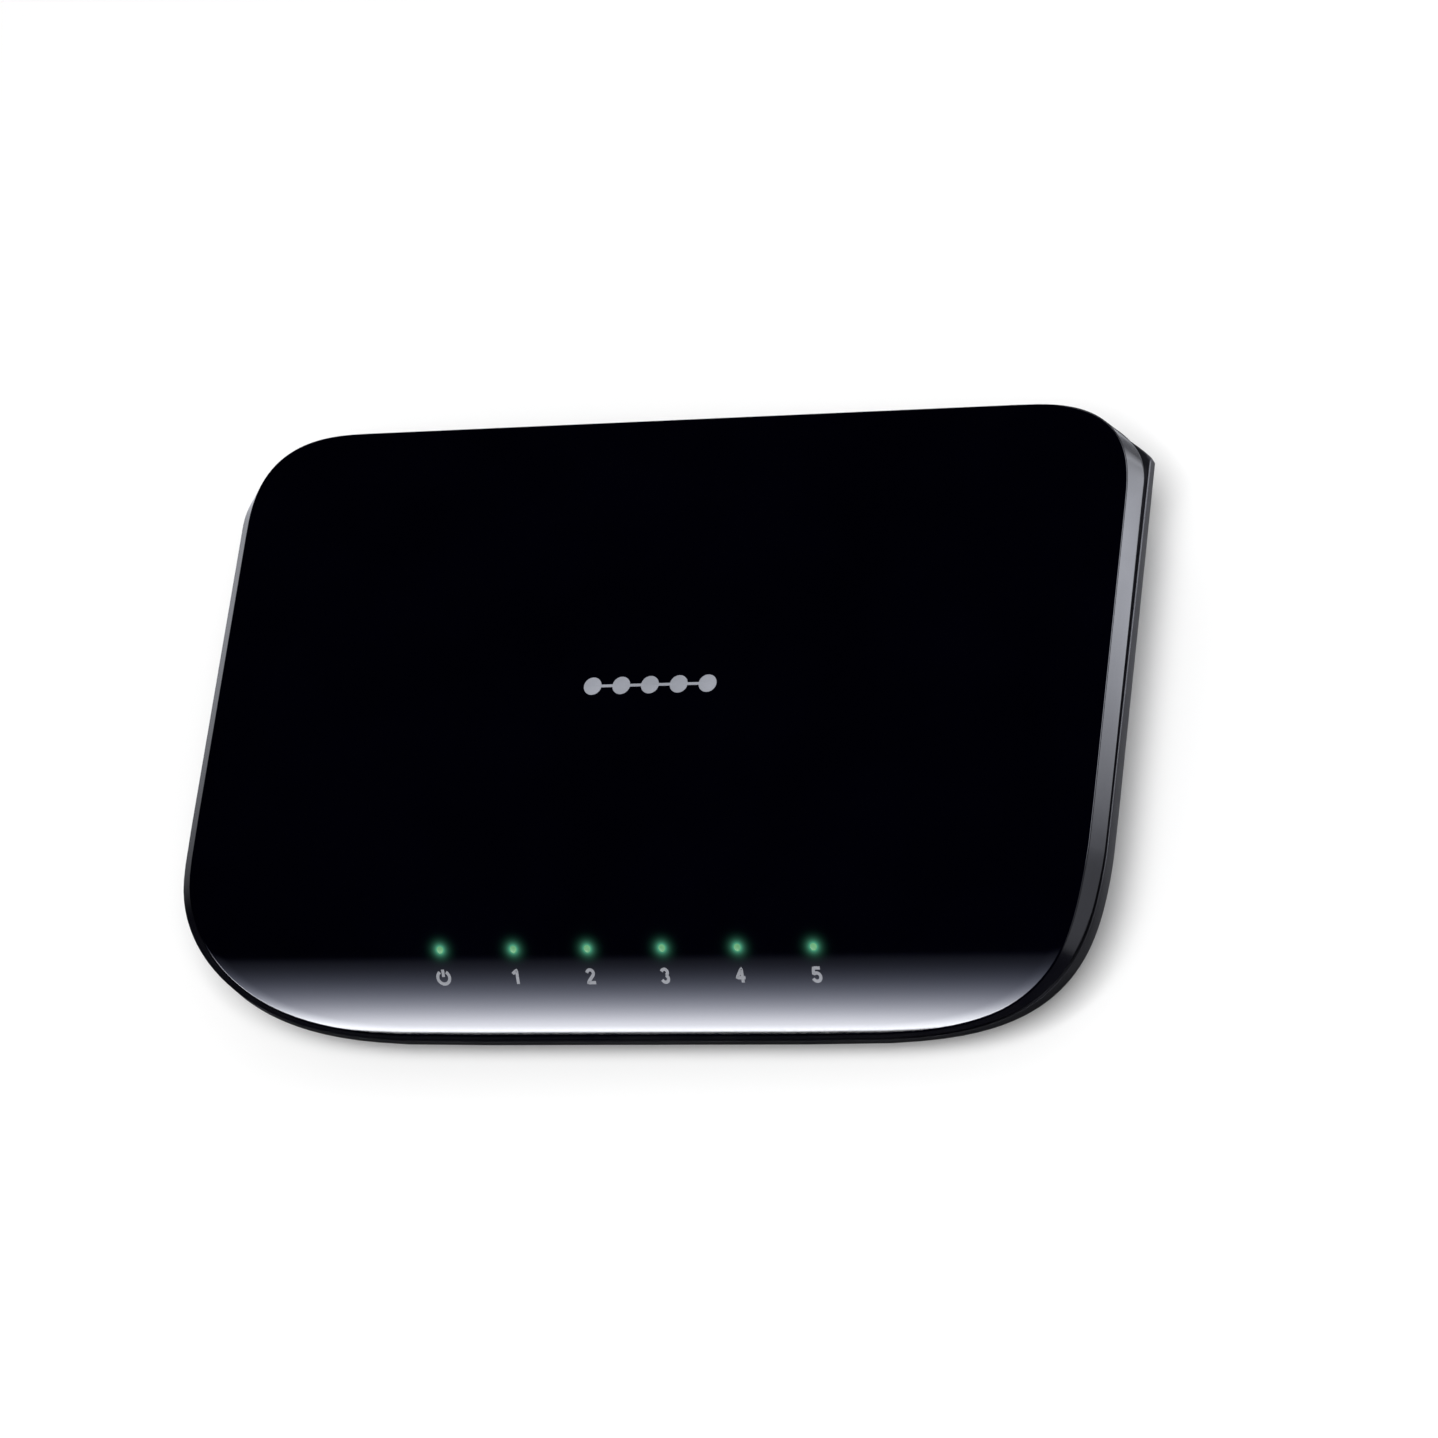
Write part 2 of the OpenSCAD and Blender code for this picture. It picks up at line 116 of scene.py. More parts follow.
# ---- Green light spilling round each light: its strength, how fast it dies away and its oval shape ----
SPILL_PEAK = 1.45
SPILL_FALL = 2250.0
SPILL_STRETCH = 1.23

# ---- Studio: lamps, dome and the glowing cards that the glossy faces reflect, in metres ----
WORLD_STRENGTH = 0.46
KEY_LIGHT = {"azimuth": 42, "elevation": 69, "distance": 1.4, "size": 0.55, "power": 16.8}
BACK_LIGHT = {"azimuth": 165, "elevation": 45, "distance": 1.6, "size": 1.4, "power": 2.5}
FLOOR_HALF = 6
LOW_TINT = (0.965, 0.98, 1.03)
HIGH_TINT = (0.83, 0.90, 1.22)
FRONT_CARD = {"y": -1.5, "x": (-2.0, -0.28), "z": (0.07, 1.25), "peak": 50.0, "fall": 5.7}
RIGHT_CARD = {"x": 0.232, "y": (-0.35, 0.6), "z": (0.0, 0.45)}
REAR_CARD = {"x": (-0.1, 0.4), "y": (0.07, 0.8), "z": (0.0, 0.45)}
SHEET_HEIGHT = 0.2 * MM


# ---- Outlines seen from above and the falling top ----

def corner(half_x, half_y, power, steps):
    """A quarter of a superellipse from the side towards the end, in steps that turn it evenly."""
    points = []
    for i in range(steps + 1):
        t = math.pi / 2
        if i < steps:
            facing = math.pi / 2 * i / steps
            t = (facing + math.atan((math.tan(facing) * half_y / half_x) ** (power / (2 * power - 2)))) / 2
        points.append((half_x * max(0.0, math.cos(t)) ** (2 / power),
                       half_y * max(0.0, math.sin(t)) ** (2 / power)))
    return points


def outline(half_w, front, back, corners, by=0.0):
    """An outline grown by a distance, anticlockwise from the right side towards the back."""
    half_w, front, back = half_w + by, front + by, back + by
    sizes = [(c[0] * MM + by, c[1] * MM + by) for c in corners]
    (fx, fy), (rx, ry) = sizes
    f = corner(fx, fy, corners[0][2], CORNER_STEPS)
    r = corner(rx, ry, corners[1][2], CORNER_STEPS)
    points = [(half_w - rx + x, back - ry + y) for x, y in r]
    points += [(rx - half_w - x, back - ry + y) for x, y in reversed(r)]
    points += [(fx - half_w - x, fy - front - y) for x, y in f]
    points += [(half_w - fx + x, fy - front - y) for x, y in reversed(f)]
    return points


def top_outline(by=0.0):
    return outline(*TOP_HALF, TOP_CORNERS, by)


def skirt_outline(by=0.0):
    return outline(*TOP_HALF, SKIRT_CORNERS, by)


def rim_outline(by=0.0):
    return outline(RIM_HALF[0], RIM_HALF[1], RIM_HALF[1], RIM_CORNERS, by)


def trim_outline(by=0.0):
    return outline(RIM_HALF[0], RIM_HALF[1], RIM_HALF[1], TRIM_CORNERS, by)


def floor_outline(by=0.0):
    return outline(RIM_HALF[0] - SIDE_TAPER, FLOOR_FRONT, RIM_HALF[1], FLOOR_CORNERS, by)


def forward(y):
    return max(0.0, (-y - BEND_START) / (TOP_HALF[1] - BEND_START))


def top_z(y):
    return TOP_Z - FRONT_DROP * forward(y) ** 2


def blend(y, flat_value, front_value):
    return (flat_value + (front_value - flat_value) * min(1.0, forward(y)) ** 2) * MM


def dip(y):
    """How much deeper the trim hangs towards the back corners."""
    start, end = REAR_DIP_Y
    return REAR_DIP * min(1.0, max(0.0, y - start) / (end - start)) ** 2


def trim_low(y):
    return blend(y, 1.95, 0.4) + dip(y)


def trim_under(y):
    return trim_low(y) + 0.6 * MM


def rim_high(y):
    return trim_under(y) + blend(y, 1.0, 0.3)


def rim_low(y):
    return blend(y, 7.0, 2.7)


def skirt_low(y):
    return blend(y, 4.6, 2.2) + dip(y) / 2


def shoulder(y):
    return skirt_low(y) + 0.5 * MM


def groove_floor(y):
    """Bottom of the dark groove between the trim and the rim."""
    return rim_high(y) + 0.85 * (skirt_low(y) + 0.2 * MM - rim_high(y))


def under_top(points, depth):
    """Points at a depth below the top surface: a number, or a function of y."""
    deep = depth if callable(depth) else (lambda y: depth)
    return [Vector((x, y, top_z(y) - deep(y))) for x, y in points]


def at_level(points, z):
    return [Vector((x, y, z)) for x, y in points]


def mix_loops(a, b, k):
    return [p.lerp(q, k) for p, q in zip(a, b)]


# ---- Mesh helpers ----

def piece(name, bm, material, body="case", smooth_angle=35):
    """Turns a bmesh into an object that rides on a body."""
    bmesh.ops.remove_doubles(bm, verts=bm.verts, dist=0.0005 * MM)
    bmesh.ops.recalc_face_normals(bm, faces=bm.faces)
    mesh = bpy.data.meshes.new(name)
    bm.to_mesh(mesh)
    bm.free()
    obj = bpy.data.objects.new(name, mesh)
    bpy.context.scene.collection.objects.link(obj)
    mesh.materials.append(material)
    shade(mesh, smooth_angle)
    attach(obj, body)
    return obj


def shade(mesh, smooth_angle):
    """Smooth faces, with the edges sharper than an angle kept crisp."""
    bm = bmesh.new()
    bm.from_mesh(mesh)
    for face in bm.faces:
        face.smooth = True
    for edge in bm.edges:
        edge.smooth = len(edge.link_faces) == 2 and edge.calc_face_angle(0) < math.radians(smooth_angle)
    bm.to_mesh(mesh)
    bm.free()


def loft(bm, loops, cyclic_section=False, first_tip=None, last_tip=None):
    """Quads between closed loops of equal length, with a fan to a tip at either end."""
    rings = [[bm.verts.new(p) for p in loop] for loop in loops]
    count = len(rings[0])
    pairs = list(zip(rings, rings[1:]))
    if cyclic_section:
        pairs.append((rings[-1], rings[0]))
    for a, b in pairs:
        for i in range(count):
            k = (i + 1) % count
            bm.faces.new((a[i], a[k], b[k], b[i]))
    for tip, ring in ((first_tip, rings[0]), (last_tip, rings[-1])):
        if tip is not None:
            middle = bm.verts.new(tip)
            for i in range(count):
                bm.faces.new((ring[i], ring[(i + 1) % count], middle))
    return bm


def lathe(bm, profile, centre, axis="Z", steps=48):
    """A turned form: profile is (radius, height) from one end to the other."""
    turn = {"Z": Matrix.Identity(3), "Y": Matrix.Rotation(math.radians(-90), 3, "X"),
            "X": Matrix.Rotation(math.radians(90), 3, "Y")}[axis]
    loops = []
    for radius, height in profile:
        ring = []
        for i in range(steps):
            a = 2 * math.pi * i / steps
            spoke = Vector((radius * math.cos(a), radius * math.sin(a), height))
            ring.append(Vector(centre) + turn @ spoke)
        loops.append(ring)
    ends = [Vector(centre) + turn @ Vector((0, 0, profile[k][1])) for k in (0, -1)]
    return loft(bm, loops, first_tip=ends[0], last_tip=ends[1])


def box(bm, low, high):
    """A block between two corners."""
    made = bmesh.ops.create_cube(bm, size=1.0)
    for v in made["verts"]:
        v.co = Vector([low[k] + (v.co[k] + 0.5) * (high[k] - low[k]) for k in range(3)])
    return made["verts"]


def slot_prism(bm, centre, across, width, length, depth, steps=8):
    """A stadium-shaped prism; across holds the directions of its width, its length and its depth."""
    side, along, out = across
    points = []
    for end in (1, -1):
        for i in range(steps + 1):
            a = math.pi * i / steps + (0 if end == 1 else math.pi)
            points.append((math.cos(a) * width / 2, math.sin(a) * width / 2 + end * (length - width) / 2))
    loops = [[Vector(centre) + side * x + along * y + out * d for x, y in points] for d in (-depth, depth)]
    return loft(bm, loops, first_tip=Vector(centre) - out * depth, last_tip=Vector(centre) + out * depth)


def bevelled(obj, width, segments=2, angle=30):
    """Softens the edges of a piece."""
    mod = obj.modifiers.new("edges", "BEVEL")
    mod.width, mod.segments = width, segments
    mod.limit_method, mod.angle_limit = "ANGLE", math.radians(angle)
    mod.harden_normals = False
    mod.use_clamp_overlap = True
    return obj


def settle(obj, smooth_angle=35):
    """Applies a piece's modifiers to its mesh."""
    shown = obj.evaluated_get(bpy.context.evaluated_depsgraph_get())
    mesh = bpy.data.meshes.new_from_object(shown)
    obj.modifiers.clear()
    obj.data = mesh
    shade(mesh, smooth_angle)
    return obj


def carve(obj, cutter_bm, smooth_angle=35, edge=0.0):
    """Cuts a bmesh out of a piece, and softens the new edges."""
    bmesh.ops.recalc_face_normals(cutter_bm, faces=cutter_bm.faces)
    mesh = bpy.data.meshes.new("cutter")
    cutter_bm.to_mesh(mesh)
    cutter_bm.free()
    cutter = bpy.data.objects.new("cutter", mesh)
    bpy.context.scene.collection.objects.link(cutter)
    mod = obj.modifiers.new("cut", "BOOLEAN")
    mod.operation, mod.object, mod.solver = "DIFFERENCE", cutter, "EXACT"
    mod.use_self = True
    if edge:
        bevelled(obj, edge, segments=2, angle=50)
    settle(obj, smooth_angle)
    bpy.data.objects.remove(cutter)
    return obj


def refined(name, node, material, edge=0.12, angle=30, body=None):
    """A finer copy of a CAD node, with coplanar facets merged and its edges softened."""
    bm = bmesh.new()
    bm.from_mesh(frame["nodes"][node].data)
    bmesh.ops.remove_doubles(bm, verts=bm.verts, dist=0.001 * MM)
    bmesh.ops.dissolve_limit(bm, angle_limit=math.radians(1.0), verts=bm.verts, edges=bm.edges)
    obj = piece(name, bm, material, body or frame["nodes"][node]["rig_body"])
    if edge:
        bevelled(obj, edge * MM, 2, angle)
        settle(obj)
    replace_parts(obj, node)
    return obj


def also(obj, parent):
    """A detail that goes with another piece."""
    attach(obj, parent["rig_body"])
    return obj


# ---- Materials ----

class Nodes:
    """A short way to build a material's node tree."""

    def __init__(self, name):
        self.mat = bpy.data.materials.new(name)
        self.mat.use_nodes = True
        self.tree = self.mat.node_tree
        self.shader = self.tree.nodes["Principled BSDF"]
        self.place = self.add("ShaderNodeTexCoord").outputs["Object"]

    def add(self, kind, **inputs):
        node = self.tree.nodes.new(kind)
        for key, value in inputs.items():
            node.inputs[key.replace("_", " ")].default_value = value
        return node

    def link(self, a, b):
        self.tree.links.new(a, b)

    def set(self, **inputs):
        for key, value in inputs.items():
            self.shader.inputs[key.replace("_", " ")].default_value = value

    def noise(self, scale, detail=4.0, rough=0.6, stretch=(1, 1, 1)):
        mapped = self.add("ShaderNodeMapping")
        mapped.inputs["Scale"].default_value = stretch
        self.link(self.place, mapped.inputs["Vector"])
        tex = self.add("ShaderNodeTexNoise", Scale=scale, Detail=detail, Roughness=rough)
        self.link(mapped.outputs["Vector"], tex.inputs["Vector"])
        return tex.outputs["Fac"]

    def cells(self, scale, feature="F1"):
        tex = self.add("ShaderNodeTexVoronoi", Scale=scale)
        tex.feature = feature
        self.link(self.place, tex.inputs["Vector"])
        return tex.outputs["Distance"]

    def ramp(self, value, low, high, start=0.3, end=0.7):
        node = self.add("ShaderNodeMapRange")
        node.inputs["From Min"].default_value, node.inputs["From Max"].default_value = start, end
        node.inputs["To Min"].default_value, node.inputs["To Max"].default_value = low, high
        self.link(value, node.inputs["Value"])
        return node.outputs["Result"]

    def mix(self, factor, a, b):
        node = self.add("ShaderNodeMix")
        node.data_type = "RGBA"
        node.inputs["A"].default_value = (*a, 1)
        node.inputs["B"].default_value = (*b, 1)
        self.link(factor, node.inputs["Factor"])
        return node.outputs["Result"]

    def colour(self, value, a, b, start=0.3, end=0.7):
        mixed = self.mix(self.ramp(value, 0, 1, start, end), a, b)
        self.link(mixed, self.shader.inputs["Base Color"])

    def roughness(self, value, low, high):
        self.link(self.ramp(value, low, high), self.shader.inputs["Roughness"])

    def bump(self, value, height, strength=1.0):
        node = self.add("ShaderNodeBump", Strength=strength, Distance=height)
        self.link(value, node.inputs["Height"])
        self.link(node.outputs["Normal"], self.shader.inputs["Normal"])


def plastic(name, dark, light, rough, grain=2500, depth=0.01 * MM, ior=1.5):
    """Moulded plastic with a fine grain and a slight unevenness of tone."""
    n = Nodes(name)
    n.set(IOR=ior)
    n.colour(n.noise(60), dark, light)
    n.roughness(n.noise(180), rough[0], rough[1])
    n.bump(n.noise(grain, 3, 0.7), depth)
    return n.mat


def piano_black(name):
    """Polished black plastic with very faint hairlines, and green light spilling round the lights."""
    n = Nodes(name)
    n.set(IOR=1.5)
    n.colour(n.noise(40), (0.0001, 0.0001, 0.001), (0.0003, 0.0003, 0.0016))
    n.roughness(n.noise(900, 6, 0.7, (1, 0.08, 1)), 0.055, 0.085)
    n.bump(n.noise(90, 2, 0.4), 0.004 * MM, 0.4)
    n.set(Emission_Color=(0.22, 1.0, 0.6, 1))
    n.link(light_spill(n), n.shader.inputs["Emission Strength"])
    return n.mat


def light_spill(n):
    """Glow that dies away exponentially from each light; the row repeats at an even pitch."""
    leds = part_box("status_leds")
    pitch = light_pitch()
    split = n.add("ShaderNodeSeparateXYZ")
    n.link(n.place, split.inputs[0])
    x, y = split.outputs[0], split.outputs[1]
    turn = arithmetic(n, "FRACT", arithmetic(n, "DIVIDE", x, pitch), 0.0)
    across = arithmetic(n, "MULTIPLY", arithmetic(n, "SUBTRACT", turn, 0.5), pitch)
    along = arithmetic(n, "SUBTRACT", y, (leds[0].y + leds[1].y) / 2)
    along = arithmetic(n, "MULTIPLY", along, SPILL_STRETCH)
    square = arithmetic(n, "ADD", arithmetic(n, "MULTIPLY", across, across),
                        arithmetic(n, "MULTIPLY", along, along))
    reach = arithmetic(n, "SQRT", square, 0.0)
    fall = arithmetic(n, "EXPONENT", arithmetic(n, "MULTIPLY", reach, -SPILL_FALL), 0.0)
    inside = arithmetic(n, "LESS_THAN", arithmetic(n, "ABSOLUTE", x, 0.0), 3 * pitch)
    return arithmetic(n, "MULTIPLY", arithmetic(n, "MULTIPLY", fall, SPILL_PEAK), inside)


def light_pitch():
    """Distance between two lights of the row."""
    low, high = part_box("status_leds")
    return (high.x - low.x - LIGHT_SIZE) / (LIGHTS - 1)


def light_x(number):
    """Where a light stands along the row, the power light being number 0."""
    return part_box("status_leds")[0].x + LIGHT_SIZE / 2 + number * light_pitch()


def metal(name, dark, light, rough, stretch=(1, 1, 1), scale=900):
    """Plated or drawn metal, brushed along one direction where it is stretched."""
    n = Nodes(name)
    n.set(Metallic=1.0)
    n.colour(n.noise(scale / 3, 4, 0.6, stretch), dark, light)
    n.roughness(n.noise(scale, 5, 0.7, stretch), rough[0], rough[1])
    n.bump(n.noise(scale * 2, 3, 0.6, stretch), 0.004 * MM)
    return n.mat


def rubber(name):
    n = Nodes(name)
    n.colour(n.noise(300), (0.012, 0.012, 0.012), (0.03, 0.03, 0.03))
    n.roughness(n.noise(500), 0.75, 0.95)
    n.bump(n.cells(3000), 0.03 * MM)
    return n.mat


def solder_mask(name):
    """Green board lacquer over raised copper tracks that run between the parts."""
    n = Nodes(name)
    n.set(IOR=1.5, Coat_Weight=0.4, Coat_Roughness=0.12)
    lanes = n.add("ShaderNodeTexBrick", Scale=1.0)
    lanes.inputs["Brick Width"].default_value = 9 * MM
    lanes.inputs["Row Height"].default_value = 0.9 * MM
    lanes.inputs["Mortar Size"].default_value = 0.22 * MM
    lanes.inputs["Mortar Smooth"].default_value = 0.1
    lanes.offset = 0.37
    n.link(n.place, lanes.inputs["Vector"])
    n.colour(lanes.outputs["Fac"], (0.012, 0.10, 0.04), (0.006, 0.055, 0.022), 0, 1)
    n.roughness(n.noise(400), 0.28, 0.42)
    n.bump(lanes.outputs["Fac"], -0.03 * MM)
    return n.mat


def lit(name, colour, strength):
    """Clear moulding lit from inside, its glow varying a little at random."""
    n = Nodes(name)
    n.set(Roughness=0.5, IOR=1.49)
    n.colour(n.noise(1500), [c * 0.03 for c in colour], [c * 0.05 for c in colour])
    glow = n.ramp(n.noise(900), strength * 0.85, strength * 1.15)
    n.link(glow, n.shader.inputs["Emission Strength"])
    n.set(Emission_Color=(*colour, 1))
    return n.mat


def label_film(name):
    """A blank white label with printed rules, and no words."""
    n = Nodes(name)
    lines = n.add("ShaderNodeTexWave", Scale=44.0, Distortion=0.0)
    lines.bands_direction = "Y"
    n.link(n.place, lines.inputs["Vector"])
    n.colour(lines.outputs["Fac"], (0.5, 0.5, 0.5), (0.78, 0.78, 0.77), 0.02, 0.06)
    n.roughness(n.noise(600), 0.45, 0.6)
    n.bump(n.noise(1500), 0.01 * MM)
    return n.mat


def make_materials():
    return {
        "cover": piano_black("gloss_black"),
        "trim": plastic("edge_black", (0.002, 0.002, 0.004), (0.004, 0.004, 0.006), (0.13, 0.19), 1200,
                        0.002 * MM, 1.55),
        "case": plastic("case_grey", (0.006, 0.006, 0.008), (0.011, 0.011, 0.014), (0.34, 0.44), 3500,
                        0.02 * MM),
        "rubber": rubber("foot_rubber"),
        "screw": metal("screw_zinc", (0.42, 0.42, 0.44), (0.62, 0.62, 0.64), (0.25, 0.4)),
        "label": label_film("label_film"),
        "board": solder_mask("solder_mask"),
        "socket": plastic("socket_black", (0.008, 0.008, 0.009), (0.018, 0.018, 0.02), (0.35, 0.5), 2500),
        "gold": metal("contact_gold", (0.75, 0.48, 0.12), (0.95, 0.68, 0.25), (0.18, 0.3)),
        "tin": metal("tin_plate", (0.5, 0.5, 0.52), (0.72, 0.72, 0.74), (0.22, 0.4)),
        "epoxy": plastic("chip_epoxy", (0.01, 0.01, 0.011), (0.02, 0.02, 0.021), (0.5, 0.7), 4500,
                         0.015 * MM),
        "pad": plastic("thermal_silicone", (0.3, 0.35, 0.45), (0.42, 0.47, 0.58), (0.7, 0.85), 2000,
                       0.03 * MM),
        "anodised": metal("black_anodised", (0.03, 0.03, 0.032), (0.055, 0.055, 0.06), (0.35, 0.5),
                          (1, 6, 1)),
        "sleeve": plastic("can_sleeve", (0.008, 0.01, 0.05), (0.012, 0.016, 0.075), (0.25, 0.35), 1500),
        "ferrite": plastic("ferrite", (0.03, 0.03, 0.032), (0.055, 0.055, 0.06), (0.55, 0.75), 3000,
                           0.03 * MM),
        "ceramic": plastic("chip_ceramic", (0.35, 0.24, 0.15), (0.46, 0.34, 0.22), (0.4, 0.55), 3000),
        "resistor": plastic("resistor_glaze", (0.008, 0.008, 0.01), (0.018, 0.018, 0.022), (0.2, 0.35),
                            3000),
        "led": lit("led_green", (0.25, 0.9, 0.3), 1.0),
        "guide": lit("guide_green", (0.3, 0.95, 0.38), 0.4),
        "tip": lit("tip_green", (0.36, 1.0, 0.46), 0.36),
        "ink": plastic("ink_grey", (0.17, 0.175, 0.19), (0.21, 0.215, 0.235), (0.4, 0.5), 5000),
        "badge": plastic("badge_silver", (0.22, 0.23, 0.26), (0.3, 0.31, 0.35), (0.35, 0.45), 4000),
    }


# ---- Case ----

def make_cover(mats):
    """The glossy shell: a fine skin of loops that shrink to the middle, a rounded edge and a skirt."""
    skin = 46
    loops = []
    brink = top_outline(-EDGE)
    for k in range(1, skin + 1):
        s = (k / skin) ** 0.85
        loops.append(under_top([(x * s, y * s) for x, y in brink], 0.0))
    for step in range(1, 5):
        a = math.pi / 2 * step / 4
        loops.append(under_top(top_outline(-EDGE + EDGE * math.sin(a)), EDGE * (1 - math.cos(a))))
    inside = skirt_outline(-SKIRT_WALL)
    loops.append(under_top(top_outline(), 1.9 * MM))
    loops.append(under_top(skirt_outline(), WALL))
    loops.append(under_top(skirt_outline(), skirt_low))
    loops.append(under_top(inside, skirt_low))
    loops.append(under_top(inside, WALL))
    for k in range(20, 0, -1):
        loops.append(under_top([(x * k / 21, y * k / 21) for x, y in inside], WALL))
    bm = loft(bmesh.new(), loops, first_tip=(0, 0, TOP_Z), last_tip=(0, 0, TOP_Z - WALL))
    for x, y in SCREW_PLACES:
        lathe(bm, [(SCREW_POST, 0), (SCREW_POST, 14.2 * MM)], (x, y, 12.1 * MM), steps=32)
    obj = piece("top_cover_shell", bm, mats["cover"])
    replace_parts(obj, "top_cover")
    return obj


def make_trim(mats):
    """The sloping edge band round the cover."""
    inner = top_outline(0.05 * MM)
    high = under_top(inner, 0.05 * MM)
    low = under_top(trim_outline(), trim_low)
    under = under_top(inner, trim_under)
    lip = under_top(trim_outline(), lambda y: trim_low(y) + 0.06 * MM)
    loops = [mix_loops(high, low, k) for k in (0.0, 0.3, 0.62, 0.9)]
    loops.append(under_top(trim_outline(-0.02 * MM), lambda y: trim_low(y) - 0.02 * MM))
    loops += [mix_loops(lip, under, k) for k in (0.0, 0.12, 0.5, 1.0)]
    bm = loft(bmesh.new(), loops, cyclic_section=True)
    obj = piece("edge_trim", bm, mats["trim"], smooth_angle=28)
    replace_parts(obj, "side_trim")
    return obj


def case_loops():
    """Loops of the lower case from the middle of its underside, over the rim, to the middle inside."""
    under = FLOOR_Z + PLATE[0]
    inside = FLOOR_Z + PLATE[1]
    rim, seat = rim_outline(), skirt_outline(0.1 * MM)
    loops = [at_level([(x * k / 8, y * k / 8) for x, y in floor_outline(-1.6 * MM)], under)
             for k in range(1, 9)]
    loops.append(at_level(floor_outline(-1.5 * MM), FLOOR_Z))
    low = at_level(floor_outline(), FLOOR_Z)
    belly = under_top(rim, rim_low)
    loops.append(at_level(floor_outline(-0.5 * MM), FLOOR_Z))
    loops.append([p + Vector((0, 0, 0.35 * MM)) for p in low])
    for k in range(1, 8):
        loops.append(mix_loops(low, belly, k / 8))
    loops.append(belly)
    loops.append([p + Vector((0, 0, 0.3 * MM)) for p in belly])
    loops.append(under_top(rim, lambda y: rim_high(y) + 0.22 * MM))
    brink, groove = under_top(seat, rim_high), under_top(seat, groove_floor)
    loops.append(under_top(rim_outline(-0.06 * MM), lambda y: rim_high(y) + 0.06 * MM))
    loops.append(mix_loops(under_top(rim, rim_high), brink, 0.08))
    loops.append(mix_loops(under_top(rim, rim_high), brink, 0.12))
    loops.append(mix_loops(under_top(rim, groove_floor), groove, 0.3))
    loops.append(groove)
    loops.append(under_top(seat, lambda y: skirt_low(y) + 0.2 * MM))
    shelf = under_top(rim_outline(-RIM_WALL), shoulder)
    base = at_level(floor_outline(-2.4 * MM), inside)
    for k in range(0, 9):
        loops.append(mix_loops(shelf, base, k / 8))
    loops += [at_level([(x * k / 8, y * k / 8) for x, y in floor_outline(-2.5 * MM)], inside)
              for k in range(7, 0, -1)]
    return loops, (0, 0, under), (0, 0, inside)


def case_openings():
    """Everything that is cut through the lower case."""
    bm = bmesh.new()
    x, y, z = Vector((1, 0, 0)), Vector((0, 1, 0)), Vector((0, 0, 1))
    for i in range(SIDE_VENTS):
        for side in (-1, 1):
            middle = (side * 76 * MM, (-15.1 + 5 * i) * MM, 13 * MM)
            slot_prism(bm, middle, (y, z, x), 1.8 * MM, 8 * MM, 9 * MM)
    for i in range(FLOOR_VENTS):
        for side in (-1, 1):
            middle = (side * (8 + 4 * i) * MM, 26 * MM, 2 * MM)
            slot_prism(bm, middle, (x, y, z), 2 * MM, 20 * MM, 4 * MM)
    for side in (-1, 1):
        head = (side * KEYHOLE[0], KEYHOLE[1], 2 * MM)
        lathe(bm, [(3.5 * MM, -4 * MM), (3.5 * MM, 4 * MM)], head)
        neck = (side * KEYHOLE[0], KEYHOLE[1] + 4 * MM, 2.05 * MM)
        slot_prism(bm, neck, (x, y, z), 3.5 * MM, 7.5 * MM, 3.9 * MM)
    for number in range(1, 5):
        low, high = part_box(f"rubber_foot_{number}")
        middle = (low + high) / 2
        radius = (high.x - low.x) / 2 + 0.1 * MM
        lathe(bm, [(radius, -3 * MM), (radius, 0)], (middle.x, middle.y, high.z))
    for place in SCREW_PLACES:
        lathe(bm, [(2.8 * MM, -2 * MM), (2.8 * MM, 2.4 * MM)], (*place, FLOOR_Z))
    low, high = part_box("jack_block")
    gap = 0.25 * MM
    box(bm, (low.x - gap, low.y, low.z - gap), (high.x + gap, RIM_HALF[1] + 5 * MM, high.z + gap))
    low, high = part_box("power_inlet_pin")
    axis = (low + high) / 2
    lathe(bm, [(INLET_BORE, 0), (INLET_BORE, 12 * MM)], (axis.x, 48 * MM, axis.z), "Y", 64)
    return bm


def make_lower_case(mats):
    loops, first, last = case_loops()
    obj = piece("lower_case_tub", loft(bmesh.new(), loops, first_tip=first, last_tip=last), mats["case"])
    carve(obj, case_openings(), edge=0.1 * MM)
    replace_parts(obj, "lower_case")
    posts = bmesh.new()
    for place in SCREW_PLACES:
        tube(posts, place, SCREW_POST, 1.55 * MM, FLOOR_Z + 2.5 * MM, 12 * MM)
    for place in BOARD_SCREWS:
        tube(posts, place, 3 * MM, 1.37 * MM, FLOOR_Z + 2.1 * MM, 7 * MM)
    also(piece("case_posts", posts, mats["case"]), obj)
    return obj


def tube(bm, at, outer, inner, low, high):
    """An upright tube with softened rims."""
    c = 0.15 * MM
    profile = [(inner, low), (outer, low), (outer, high - c), (outer - c, high), (inner + c, high),
               (inner, high - c)]
    loops = []
    for radius, z in profile:
        loops.append([Vector((at[0] + radius * math.cos(a), at[1] + radius * math.sin(a), z))
                      for a in (2 * math.pi * i / 40 for i in range(40))])
    return loft(bm, loops, cyclic_section=True)


def make_feet(mats):
    """Rubber feet with a rounded edge and a dished middle."""
    for number in range(1, 5):
        low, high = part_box(f"rubber_foot_{number}")
        middle = (low + high) / 2
        r = (high.x - low.x) / 2
        h = high.z - low.z
        profile = [(r - 2.0 * MM, 0.25 * MM), (r - 1.6 * MM, 0.0), (r - 0.5 * MM, 0.0),
                   (r - 0.15 * MM, 0.12 * MM), (r, 0.45 * MM), (r, h)]
        bm = lathe(bmesh.new(), profile, (middle.x, middle.y, low.z), steps=64)
        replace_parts(piece(f"foot_pad_{number}", bm, mats["rubber"]), f"rubber_foot_{number}")


def make_screws(mats):
    for name, node in (("case_screw_set", "case_screws"), ("board_screw_set", "board_screws")):
        refined(name, node, mats["screw"], edge=0.12, angle=40)


